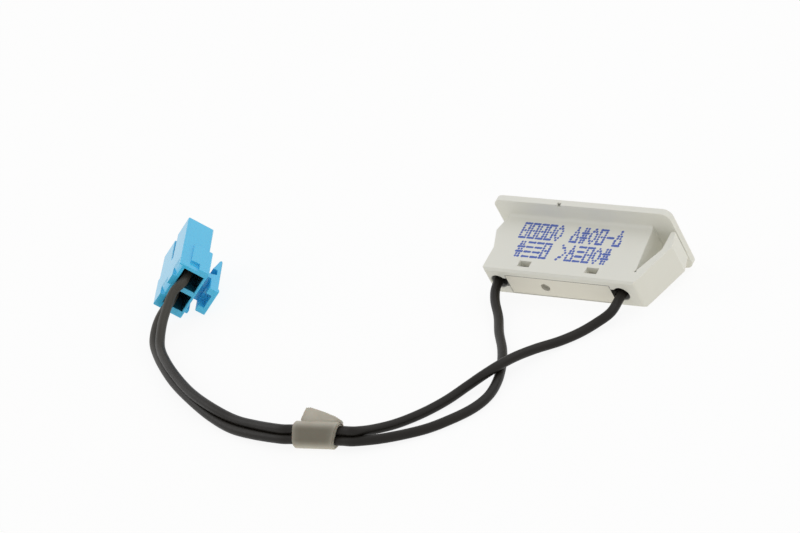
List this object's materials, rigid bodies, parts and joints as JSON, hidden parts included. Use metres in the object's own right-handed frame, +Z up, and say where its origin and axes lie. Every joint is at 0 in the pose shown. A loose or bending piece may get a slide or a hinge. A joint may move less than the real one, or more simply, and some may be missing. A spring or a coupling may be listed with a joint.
{
  "type": "reed switch",
  "caption": "White snap-in housing holding a glass reed capsule, with black wires bound by a band of tape and a sky-blue latching plug.",
  "frame": {"origin": "middle of the housing's footprint on the surface that it rests on, wires and plug left out", "axes": "+X along the flange, -Y towards the wire exits, +Z up"},
  "size_m": [0.1341, 0.0858, 0.0177],
  "materials": {
    "white_plastic": "fine satin moulding",
    "cover_plastic": "fine satin moulding",
    "glass": "clear, faint green",
    "reed_metal": "plated nickel iron",
    "tinned_metal": "tinned",
    "wire_jacket": "satin black jacket",
    "copper": "bare copper strands",
    "tape": "matt adhesive tape",
    "blue_plastic": "satin moulding",
    "contact_metal": "tinned sheet"
  },
  "bodies": {
    "assembly": {"housing": "white_plastic", "rear_cover": "cover_plastic", "glass_tube": "glass", "splice_left": "tinned_metal", "splice_right": "tinned_metal", "wire_left": "wire_jacket", "wire_right": "wire_jacket", "cores_left": "copper", "cores_right": "copper", "tape_band": "tape", "plug_housing": "blue_plastic", "contact_upper": "contact_metal", "contact_lower": "contact_metal"},
    "left_reed": {"reed_left": "reed_metal"},
    "right_reed": {"reed_right": "reed_metal"}
  },
  "joints": [
    {"name": "right_reed_bend", "type": "hinge", "parent": "assembly", "child": "right_reed", "pos_m": [0.00515, 0.00294, 0.00765], "axis": [0, -0.9594, -0.282], "range_deg": [0, 0.45], "stiffness_Nm_per_rad": 0.02},
    {"name": "left_reed_bend", "type": "hinge", "parent": "assembly", "child": "left_reed", "pos_m": [-0.00805, 0.00294, 0.00765], "axis": [0, -0.9594, -0.282], "range_deg": [0, 0.45], "stiffness_Nm_per_rad": 0.02}
  ],
  "couplings": [
    {"joint": "left_reed_bend", "follows": "right_reed_bend", "ratio": 1}
  ]
}
